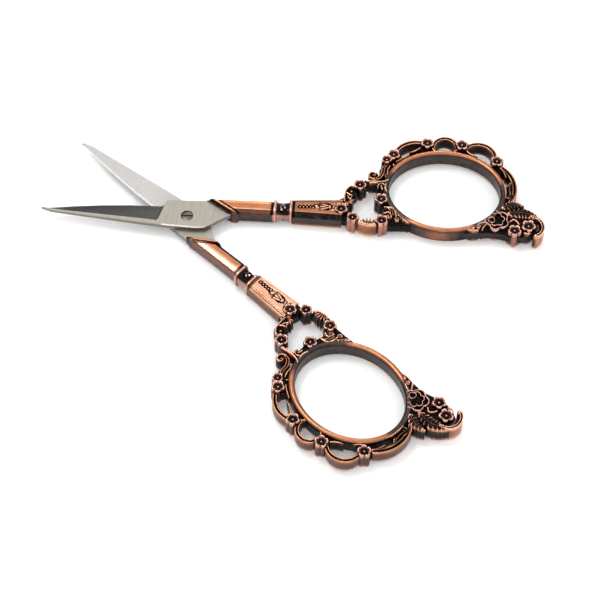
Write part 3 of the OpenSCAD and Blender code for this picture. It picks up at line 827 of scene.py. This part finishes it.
def collar_neck():
    """The dark waist between the rings, swelling into a bead on each face."""
    sections, polish_and_sheen = [], []
    x0, x1 = COLLAR_X
    for x in np.concatenate([np.linspace(x0, 22.4, 6), np.linspace(22.5, 25.5, 30),
                             np.linspace(25.6, x1, 6)]):
        t = (x - x0) / (x1 - x0)
        waist = 0.5 + 0.5 * math.cos(2 * math.pi * t)
        ring = rounded_section(x, 4.1 + 0.5 * t, 1.98 + 0.24 * waist, TOP - 0.8 + 0.35 * waist,
                               power=0.7)
        sections.append(ring)
        polish_and_sheen.append(0.55 * (1 - smoothstep(2.3, 2.9, ring[:, 1])
                              + smoothstep(5.7, 6.1, ring[:, 1])))
    neck = loft_mesh(sections, polish_and_sheen)
    bm = bmesh.new()
    bm.from_mesh(neck)
    layer = bm.verts.layers.float["polish_and_sheen"]
    radii = (1.22, 1.5, 1.4)
    for sign in (-1, 1):
        at = Vector((23.95, 4.1, sign * (TOP - 0.08 - radii[2]))) * MM
        made = bmesh.ops.create_uvsphere(
            bm, u_segments=40, v_segments=26, radius=MM,
            matrix=Matrix.Translation(at) @ Matrix.Diagonal((*radii, 1)))
        # painted glints: a few small bright spots on each bead, where lamps would shine in its
        # gloss
        wear_and_glints = [Vector((dx, dy, sign * 1.1)) * MM + at for dx, dy in
                ((-0.6, -0.05), (0.05, 0.45), (0.5, -0.1), (-0.35, -0.75))]
        for vert in made["verts"]:
            vert[layer] = max(hump((vert.co - w).length / MM, 0.1, 0.22) for w in wear_and_glints)
    for face in bm.faces:
        face.smooth = True
    bm.to_mesh(neck)
    bm.free()
    return neck


# --- steel ---

def blade():
    """A blade with a hollow-ground bevel, a flat along its spine, and its ricasso.

    Its polish is 1 in the hollow, 0 on the flat and -1 on the inner face, where it rises to 0
    towards the pivot, painted shade that darkens the inner face there. The hollow's dark tone is a
    painted dark reflection, and the darker walls are painted shade.
    """
    # distances from the tip: where the hollow's heel starts and ends, and the whole length
    heel_start, heel_end, length = 30.2, 31.8, 48.0
    along = np.concatenate([np.linspace(0, 1, 90) ** 0.9 * heel_start,
                            heel_start + np.linspace(0.03, 1, 24) * (heel_end - heel_start),
                            heel_end + np.linspace(0.04, 1, 44) * (length - heel_end)])
    across = np.concatenate([np.linspace(0, 0.5, 16), np.linspace(0.53, 1, 26)])
    s, v = np.meshgrid(along, across, indexing="ij")
    x = TIP_X + s
    edge = np.interp(x, [TIP_X, -34, -29, -22, -15, -7.2, -6.7, -5.3, 4.8, 10.4],
                     [-0.1, 0.4, 1.2, 2.15, 2.8, 3.15, 3.3, 4.4, 4.95, 4.95])
    spine = np.interp(x, [TIP_X, -34.6, -28, -20, -12, -5, 2.6, 4.7, 10.2, 10.5],
                      [-0.3, -1.1, -1.65, -2.3, -3.0, -3.45, -3.6, -3.3, 0.9, 1.1])
    line = np.interp(x, [TIP_X, -36, -34, -30, -20, -10, -7.5, 12],
                     [-0.1, -0.3, -0.58, -0.88, -1.4, -1.95, -2.15, -3.7])
    bevel_line = np.where(x < -6.2, line, spine + 0.5 * (edge - spine))
    y = np.where(v < 0.5, spine + (bevel_line - spine) * v * 2,
                 bevel_line + (edge - bevel_line) * (v - 0.5) * 2)
    thick = BLADE_T - 0.5 * np.clip((-8 - x) / 29.6, 0, 1)
    # the hollow: a shallow curve that drops to the cutting edge, with a round corner at its heel
    share = np.clip((y - bevel_line) / np.maximum(edge - bevel_line, 1e-3), 0, 1)
    corner = np.clip(-1.2 - y, 0, 1)
    heel = smoothstep(0.0, 0.35, -7.3 + 0.24 * (y + 2.2) - 0.7 * corner ** 2 - x)
    drop = (thick - 0.1) * (0.72 * share + 0.28 * share ** 2.2) * np.minimum(thick, 1)
    drop = np.minimum(drop + 0.12 * smoothstep(0, 0.05, share), thick - 0.08)
    top = GAP + thick - heel * np.where(v >= 0.5, drop, 0)
    top -= 0.08 * (1 - smoothstep(0, 0.03, v))  # a hair of roundness along the spine
    low = GAP + 0.05 * smoothstep(0.86, 1.0, share) * (x < -7)
    # the hollow takes the steel's dark tone, a painted reflection, and the walls take a tone
    # between flat and hollow, painted shade
    hollow = heel * (v >= 0.5) * smoothstep(0.0, 0.06, share)
    return slab_mesh(x, y, top, low, hollow, np.full(x.shape, 0.6), smoothstep(-14, 2, x) - 1,
                     levels=3, glow=0.0)


def cut_away(me, tool_mesh):
    """A mesh with the shape of another taken out of it."""
    body, tool = add_object("cut_body", me), add_object("cut_tool", tool_mesh)
    cut = body.modifiers.new("cut", "BOOLEAN")
    cut.operation = "DIFFERENCE"
    cut.solver = "EXACT"
    cut.object = tool
    bpy.context.view_layer.update()
    out = bpy.data.meshes.new_from_object(body.evaluated_get(bpy.context.evaluated_depsgraph_get()))
    for o in (body, tool):
        bpy.data.objects.remove(o)
    return out


def turned_tool(radius, z0, z1):
    """A plain cylinder about the pivot, for boring."""
    bm = bmesh.new()
    bmesh.ops.create_cone(bm, cap_ends=True, segments=72, radius1=radius * MM, radius2=radius * MM,
                          depth=(z1 - z0) * MM,
                          matrix=Matrix.Translation((0, 0, (z0 + z1) / 2 * MM)))
    return mesh_of(bm)


def pivot_screw():
    """The slotted screw: a low domed head with a turned chamfer, and its journal."""
    head_top, journal_r = GAP + BLADE_T - 0.06, 1.0
    foot = -GAP - BLADE_T + 0.01
    profile = [(0.0, head_top), (0.5, head_top - 0.01), (0.95, head_top - 0.03),
               (1.2, head_top - 0.06), (1.36, head_top - 0.12), (HEAD_R, head_top - 0.24),
               (HEAD_R, head_top - 0.65), (journal_r, head_top - 0.65),
               (journal_r, foot + 0.11), (journal_r - 0.12, foot), (0.0, foot)]
    a = np.linspace(0, 2 * np.pi, 72, endpoint=False)
    sections = [np.stack([max(r, 1e-3) * np.cos(a), max(r, 1e-3) * np.sin(a),
                          np.full(len(a), z)], 1) for r, z in profile]
    me = loft_mesh(sections[::-1], [np.zeros(len(a))] * len(profile))
    bm = bmesh.new()
    bmesh.ops.create_cube(bm, size=1.0)
    slot_mesh = mesh_of(bm)
    slot_mesh.transform(Matrix.Rotation(SLOT_TURN, 4, "Z") @ Matrix.Translation(
        (0, 0, head_top * MM)) @ Matrix.Diagonal((4 * MM, 0.42 * MM, 0.7 * MM, 1)))
    return sharpened(cut_away(me, slot_mesh), 25)


# --- materials ---

def node(tree, kind, **values):
    """A shader node, with its sockets or its settings given by name."""
    n = tree.nodes.new(kind)
    for key, value in values.items():
        if key in n.inputs:
            n.inputs[key].default_value = value
        else:
            setattr(n, key, value)
    return n


def ramp(tree, source, stops):
    """A colour ramp through the given stops."""
    r = tree.nodes.new("ShaderNodeValToRGB")
    elements = r.color_ramp.elements
    elements.remove(elements[1])
    elements[0].position = stops[0][0]
    elements[0].color = (*stops[0][1], 1)
    for at, colour in stops[1:]:
        elements.new(at).color = (*colour, 1)
    tree.links.new(source, r.inputs[0])
    return r.outputs[0]


def math_node(tree, operation, a, b):
    """A sum, difference or product of two sockets or numbers."""
    n = tree.nodes.new("ShaderNodeMath")
    n.operation = operation
    for i, v in enumerate((a, b)):
        if isinstance(v, (int, float)):
            n.inputs[i].default_value = v
        else:
            tree.links.new(v, n.inputs[i])
    return n.outputs[0]


def map_range(tree, source, low, high, from_low=0.0, from_high=1.0):
    """A socket's value moved from one range to another."""
    n = tree.nodes.new("ShaderNodeMapRange")
    for key, value in (("From Min", from_low), ("From Max", from_high), ("To Min", low),
                       ("To Max", high)):
        n.inputs[key].default_value = value
    tree.links.new(source, n.inputs["Value"])
    return n.outputs["Result"]


def metal(name):
    """A new metal, with its tree, its shader and the two attributes of the meshes."""
    m = bpy.data.materials.new(name)
    m.use_nodes = True
    tree = m.node_tree
    shader = tree.nodes["Principled BSDF"]
    shader.inputs["Metallic"].default_value = 1.0
    plan = node(tree, "ShaderNodeAttribute", attribute_name="plan").outputs["Vector"]
    polish_and_sheen = node(tree, "ShaderNodeAttribute", attribute_name="polish_and_sheen").outputs["Fac"]
    return m, tree, shader, plan, polish_and_sheen


def noise(tree, place, scale, detail=4.0, roughness=0.6):
    """A noise texture's value at a place."""
    n = node(tree, "ShaderNodeTexNoise", Scale=scale, Detail=detail, Roughness=roughness)
    tree.links.new(place, n.inputs["Vector"])
    return n.outputs["Fac"]


def bump(tree, height, strength, distance, shader):
    """Fine roughness of the surface."""
    b = node(tree, "ShaderNodeBump", Strength=strength, Distance=distance)
    tree.links.new(height, b.inputs["Height"])
    tree.links.new(b.outputs["Normal"], shader.inputs["Normal"])


def stretched(tree, place, scale):
    """Texture space drawn out, so that noise in it lies as brush lines."""
    lay = node(tree, "ShaderNodeMapping")
    lay.inputs["Scale"].default_value = scale
    tree.links.new(place, lay.inputs["Vector"])
    return lay.outputs["Vector"]


def copper_material(name, brown, copper, bright, edge):
    """Copper plate: black patina in the hollows, and copper where tumbling polished it."""
    m, tree, shader, plan, polish_and_sheen = metal(name)
    cloud = noise(tree, plan, 700.0, 5.0)
    brushed = noise(tree, stretched(tree, plan, (500, 3600, 1500)), 1.0, 3.0, 0.7)
    grain = noise(tree, plan, 6500.0, 3.0)
    # clouds and brush lines make the wear uneven
    wander = math_node(tree, "ADD", math_node(tree, "MULTIPLY", cloud, 0.34),
                       math_node(tree, "MULTIPLY", brushed, 0.3))
    level = math_node(tree, "SUBTRACT", math_node(tree, "ADD", polish_and_sheen, wander), 0.32)
    level = math_node(tree, "MULTIPLY", level, 0.8)
    colour = ramp(tree, level, [
        (0.04, (0.006, 0.005, 0.005)), (0.2, (0.055, 0.046, 0.042)), (0.35, brown),
        (0.56, copper), (0.76, bright), (1.0, edge)])
    tree.links.new(colour, shader.inputs["Base Color"])
    tree.links.new(map_range(tree, level, 0.42, 0.22), shader.inputs["Roughness"])
    bump(tree, math_node(tree, "ADD", math_node(tree, "MULTIPLY", grain, 0.6),
                         math_node(tree, "MULTIPLY", brushed, 0.4)), 0.3, 0.00002, shader)
    return m


def lacquer_material(name):
    """The collar's waist: a smooth, almost black finish, copper coloured along its sides, and near
    white in a few small spots that are painted glints.
    """
    m, tree, shader, plan, polish_and_sheen = metal(name)
    cloud = noise(tree, plan, 1500.0)
    level = math_node(tree, "ADD", polish_and_sheen, math_node(tree, "MULTIPLY", cloud, 0.1))
    # the last stop is the near white of the painted glints on the beads
    tree.links.new(ramp(tree, level, [(0.1, (0.004, 0.003, 0.003)), (0.3, (0.014, 0.009, 0.008)),
                                      (0.6, (0.36, 0.17, 0.13)), (0.8, (0.95, 0.84, 0.78))]),
                   shader.inputs["Base Color"])
    tree.links.new(map_range(tree, cloud, 0.08, 0.2), shader.inputs["Roughness"])
    bump(tree, cloud, 0.1, 0.00002, shader)
    shader.inputs["Coat Weight"].default_value = 0.25
    shader.inputs["Coat Roughness"].default_value = 0.05
    return m


def steel_material(name, inner, flat, hollow, rough=(0.3, 0.42)):
    """Steel ground across its length: a pale inner face, a brushed flat and a darker hollow, whose
    dark tone is a painted dark reflection.
    """
    m, tree, shader, plan, surface = metal(name)
    lines = noise(tree, stretched(tree, plan, (6500, 300, 300)), 1.0, 4.0, 0.65)
    cloud = noise(tree, plan, 420.0, 4.0)
    tone = ramp(tree, map_range(tree, surface, 0.0, 1.0, -1.0, 1.0),
                [(0.0, inner), (0.5, flat), (1.0, hollow)])
    streaks = ramp(tree, lines, [(0.3, (0.74, 0.74, 0.74)), (0.52, (0.95, 0.95, 0.95)),
                                 (0.75, (1.06, 1.05, 1.03))])
    mix = node(tree, "ShaderNodeMix", data_type="RGBA", blend_type="MULTIPLY")
    mix.inputs["Factor"].default_value = 1.0
    colour_inputs = [s for s in mix.inputs if s.type == "RGBA"]
    tree.links.new(tone, colour_inputs[0])
    tree.links.new(streaks, colour_inputs[1])
    tree.links.new([s for s in mix.outputs if s.type == "RGBA"][0], shader.inputs["Base Color"])
    tree.links.new(map_range(tree, cloud, *rough), shader.inputs["Roughness"])
    bump(tree, lines, 0.3, 0.00001, shader)
    return m


def floor_material():
    """A plain, pale, slightly clouded sweep."""
    m = bpy.data.materials.new("pale_floor")
    m.use_nodes = True
    tree = m.node_tree
    shader = tree.nodes["Principled BSDF"]
    place = node(tree, "ShaderNodeTexCoord").outputs["Object"]
    cloud = noise(tree, place, 30.0, 2.0)
    tree.links.new(ramp(tree, cloud, [(0.3, (0.93, 0.93, 0.93)), (0.7, (0.95, 0.95, 0.95))]),
                   shader.inputs["Base Color"])
    shader.inputs["Roughness"].default_value = 0.55
    shader.inputs["Specular IOR Level"].default_value = 0.2
    # a little light from the sweep itself keeps the shadows pale
    shader.inputs["Emission Color"].default_value = (1, 1, 1, 1)
    shader.inputs["Emission Strength"].default_value = 0.14
    return m


COPPER = copper_material("antique_copper", (0.125, 0.062, 0.048), (0.31, 0.128, 0.072),
                         (0.58, 0.225, 0.098), (0.85, 0.53, 0.38))
DARK_COPPER = copper_material("dark_copper", (0.11, 0.053, 0.046), (0.36, 0.160, 0.120),
                              (0.64, 0.33, 0.25), (0.78, 0.48, 0.39))
LACQUER = lacquer_material("dark_lacquer")
# the last colour, for the blade's hollow, is a painted dark reflection
BLADE_STEEL = steel_material("blade_steel", (0.50, 0.485, 0.465), (0.355, 0.33, 0.285),
                             (0.075, 0.075, 0.073))
SCREW_STEEL = steel_material("screw_steel", (0.14, 0.14, 0.14), (0.15, 0.13, 0.11),
                             (0.06, 0.06, 0.06), (0.25, 0.4))


# --- the pieces ---

def place(me, name, half, material, slot, node_name):
    """Puts a copy of a mesh on one half of the scissors, and keeps its plan for the textures.

    The screw belongs to neither half. It stays unturned, and rides with the lower one.
    """
    me = me.copy()
    me.name = name
    co = np.empty(len(me.vertices) * 3, np.float32)
    me.vertices.foreach_get("co", co)
    me.attributes.new("plan", "FLOAT_VECTOR", "POINT").data.foreach_set("vector", co)
    me.transform(Matrix.Translation((0, 0, MID_Z)) @ HALVES.get(half, Matrix()))
    me.materials.clear()
    me.materials.append(material)
    piece = add_object(name, me)
    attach(piece, f"{half}_half" if half in HALVES else "lower_half")
    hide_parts(node_name)


def build():
    """Every piece, the castings once for each half."""
    castings = [
        (bolster(), "bolster", COPPER), (shank(), "shank", COPPER),
        (collar_rings(), "collar_rings", DARK_COPPER), (collar_neck(), "collar_neck", LACQUER),
        (vine_bar(), "vine_bar", COPPER), (wreath(), "wreath", COPPER),
        (blossom_mesh(WREATH_BLOSSOMS), "wreath_blossoms", DARK_COPPER),
        (finger_bow(), "finger_bow", COPPER), (lace_border(), "lace_border", COPPER),
        (blossom_mesh(BORDER_BLOSSOMS), "border_blossoms", DARK_COPPER),
        (rose(), "rose", DARK_COPPER), (leaf_spray(), "leaf_spray", COPPER),
        (blossom_mesh(TAIL_BLOSSOMS), "tail_blossoms", DARK_COPPER),
        (tail_scroll(), "tail_scroll", COPPER),
    ]
    for half in HALVES:
        for me, name, material in castings:
            node_name = "collar" if name.startswith("collar") else name
            slot = "antique_copper" if material == COPPER else "dark_copper"
            place(me, f"{name}_{half}_cast", half, material, slot, f"{node_name}_{half}")
    plain = blade()
    bored = cut_away(plain, turned_tool(COUNTERBORE_R, SEAT_Z, 3))
    place(sharpened(bored), "blade_upper_ground", "upper", BLADE_STEEL, "blade_steel",
          "blade_upper")
    place(sharpened(plain), "blade_lower_ground", "lower", BLADE_STEEL, "blade_steel",
          "blade_lower")
    place(pivot_screw(), "pivot_screw_turned", "screw", SCREW_STEEL, "screw_steel",
          "pivot_screw")


build()


# --- floor, light and camera ---

def stage():
    """The floor, just below the lowest rims."""
    half = 1.2
    me = bpy.data.meshes.new("floor")
    me.from_pydata([(-half, -half, 0), (half, -half, 0), (half, half, 0), (-half, half, 0)], [],
                   [(0, 1, 2, 3)])
    me.materials.append(floor_material())
    floor = add_object("floor", me)
    floor.location.z = cad_box[0][2] - 0.1 * MM


def studio_world():
    """A light tent: bright overhead, and dimmer towards the horizon."""
    world = bpy.data.worlds.new("studio")
    world.use_nodes = True
    tree = world.node_tree
    up = node(tree, "ShaderNodeSeparateXYZ")
    tree.links.new(node(tree, "ShaderNodeTexCoord").outputs["Generated"], up.inputs[0])
    tree.links.new(ramp(tree, up.outputs["Z"], [(0.0, (0.30, 0.29, 0.29)),
                                                (0.35, (0.44, 0.43, 0.43)),
                                                (0.75, (0.80, 0.80, 0.81)),
                                                (0.95, (1.0, 1.0, 1.0))]),
                   tree.nodes["Background"].inputs["Color"])
    tree.nodes["Background"].inputs["Strength"].default_value = 1.3
    return world


def lights():
    """Four soft lamps that all point at the scissors, in the light tent."""
    centre = Vector((0.03, 0, 0))
    for name, size, energy, at in (
        ("overhead", (0.22, 0.22), 1.5, (-0.24, 0.1, 0.76)),
        ("back", (0.24, 0.12), 0.9, (-0.16, 0.66, 0.42)),
        ("right", (0.14, 0.14), 0.5, (0.5, 0.35, 0.5)),
        ("front", (0.14, 0.1), 0.35, (0.3, -0.6, 0.45)),
    ):
        data = bpy.data.lights.new(name, "AREA")
        data.shape = "RECTANGLE"
        data.size, data.size_y = size
        data.energy = energy
        lamp = add_object(name, data)
        lamp.location = at
        lamp.rotation_euler = (centre - Vector(at)).to_track_quat("-Z", "Y").to_euler()
    bpy.context.scene.world = studio_world()


def camera():
    """From above, in front and a little to the right, through a long lens."""
    elevation, azimuth, distance = math.radians(56.43), math.radians(22.88), 0.44747
    target = Vector((0.03655, -0.01329, cad_box[1][2]))
    back = Vector((math.sin(azimuth) * math.cos(elevation),
                   -math.cos(azimuth) * math.cos(elevation), math.sin(elevation)))
    data = bpy.data.cameras.new("camera")
    data.lens = 110.16
    data.sensor_width = 36.0
    cam = add_object("camera", data)
    cam.location = target + distance * back
    cam.rotation_euler = back.to_track_quat("Z", "Y").to_euler()
    bpy.context.scene.camera = cam


stage()
lights()
camera()
bpy.context.scene.view_settings.view_transform = "Standard"
